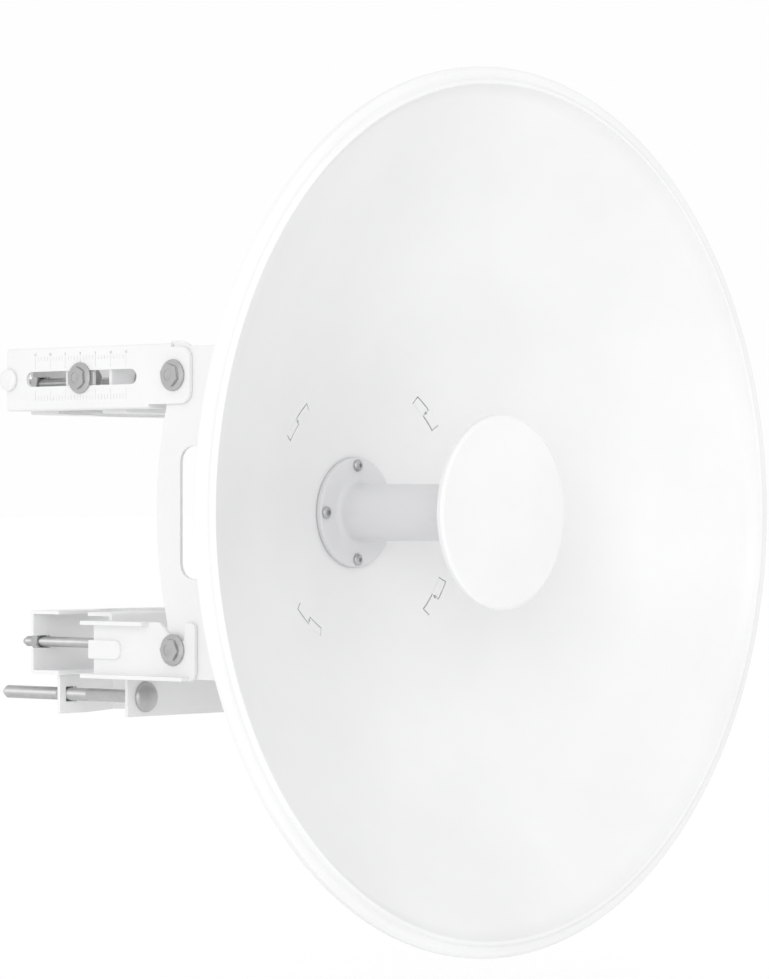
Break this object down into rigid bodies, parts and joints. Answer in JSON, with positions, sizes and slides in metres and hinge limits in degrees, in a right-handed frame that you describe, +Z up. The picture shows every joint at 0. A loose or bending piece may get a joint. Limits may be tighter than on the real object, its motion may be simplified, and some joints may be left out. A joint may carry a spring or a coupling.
{
  "type": "outdoor wireless bridge dish antenna",
  "caption": "Round parabolic dish antenna with a prime-focus tube feed, on a white steel mount that clamps to a pole and tilts by slotted arms.",
  "frame": {"origin": "on the pole's axis, at the height of the dish's centre", "axes": "the dish faces -Y, +Z is up along the pole, +X is to the right seen from behind the dish's front"},
  "size_m": [0.65, 0.4605, 0.65],
  "materials": {
    "reflector_paint": "satin powder coat",
    "mount_paint": "satin powder coat",
    "white_plastic": "fine matt moulded",
    "zinc_plate": "dull zinc",
    "black_rubber": "matt",
    "bare_aluminium": "bare",
    "circuit_board": "solder mask"
  },
  "bodies": {
    "pole_mount": {"upper_bracket": "mount_paint", "lower_bracket": "mount_paint", "lower_arm_left": "mount_paint", "lower_arm_right": "mount_paint", "support_plate": "mount_paint", "upper_rod_left": "zinc_plate", "upper_rod_right": "zinc_plate", "lower_rod_left": "zinc_plate", "lower_rod_right": "zinc_plate", "support_bolt_left": "zinc_plate", "support_bolt_right": "zinc_plate", "lower_pivot_left_bolt": "zinc_plate", "lower_pivot_right_bolt": "zinc_plate", "lower_pivot_left_nut": "zinc_plate", "lower_pivot_right_nut": "zinc_plate"},
    "dish": {"reflector": "reflector_paint", "hub": "white_plastic", "feed_tube": "white_plastic", "feed_gasket": "black_rubber", "feed_cone": "white_plastic", "splash_plate": "bare_aluminium", "sub_reflector": "white_plastic", "waveguide": "bare_aluminium", "feed_screw_1": "zinc_plate", "feed_screw_2": "zinc_plate", "feed_screw_3": "zinc_plate", "feed_screw_4": "zinc_plate", "rear_frame": "mount_paint", "frame_screw_1": "zinc_plate", "frame_screw_2": "zinc_plate", "frame_screw_3": "zinc_plate", "frame_screw_4": "zinc_plate", "radio_housing": "white_plastic", "radio_cover": "white_plastic", "radio_board": "circuit_board", "cable_gland": "black_rubber", "cover_screw_1": "zinc_plate", "cover_screw_2": "zinc_plate", "upper_pivot_left_bolt": "zinc_plate", "upper_pivot_right_bolt": "zinc_plate", "upper_pivot_left_nut": "zinc_plate", "upper_pivot_right_nut": "zinc_plate"},
    "elevation_arms": {"elevation_arm_left": "mount_paint", "elevation_arm_right": "mount_paint", "arm_button_left": "white_plastic", "arm_button_right": "white_plastic"},
    "slide_bolts": {"slide_left_bolt": "zinc_plate", "slide_right_bolt": "zinc_plate", "slide_left_nut": "zinc_plate", "slide_right_nut": "zinc_plate"},
    "upper_clamp": {"upper_rear_clamp": "mount_paint", "upper_rod_nut_left": "zinc_plate", "upper_rod_nut_right": "zinc_plate"},
    "lower_clamp": {"lower_rear_clamp": "mount_paint", "lower_rod_nut_left": "zinc_plate", "lower_rod_nut_right": "zinc_plate"},
    "support_grip": {"support_clamp": "mount_paint", "support_nut_left": "zinc_plate", "support_nut_right": "zinc_plate"}
  },
  "joints": [
    {"name": "elevation", "type": "hinge", "parent": "pole_mount", "child": "dish", "pos_m": [0, -0.1207, -0.1027], "axis": [-1, 0, 0], "range_deg": [-15, 15]},
    {"name": "arm_pivot", "type": "hinge", "parent": "dish", "child": "elevation_arms", "pos_m": [0, -0.1207, 0.1027], "axis": [-1, 0, 0], "range_deg": [-15.5, 15.5]},
    {"name": "slide_bolt_travel", "type": "slide", "parent": "elevation_arms", "child": "slide_bolts", "axis": [0, 1, 0], "range_m": [-0.0542, 0.0542]},
    {"name": "upper_clamp_travel", "type": "slide", "parent": "pole_mount", "child": "upper_clamp", "axis": [0, 1, 0], "range_m": [-0.04, 0.012]},
    {"name": "lower_clamp_travel", "type": "slide", "parent": "pole_mount", "child": "lower_clamp", "axis": [0, 1, 0], "range_m": [-0.04, 0.012]},
    {"name": "support_clamp_travel", "type": "slide", "parent": "pole_mount", "child": "support_grip", "axis": [0, 1, 0], "range_m": [-0.045, 0.05]}
  ],
  "couplings": [
    {"joint": "arm_pivot", "follows": "elevation", "ratio": -1},
    {"joint": "slide_bolt_travel", "follows": "elevation", "m_per_rad": -0.2054}
  ]
}
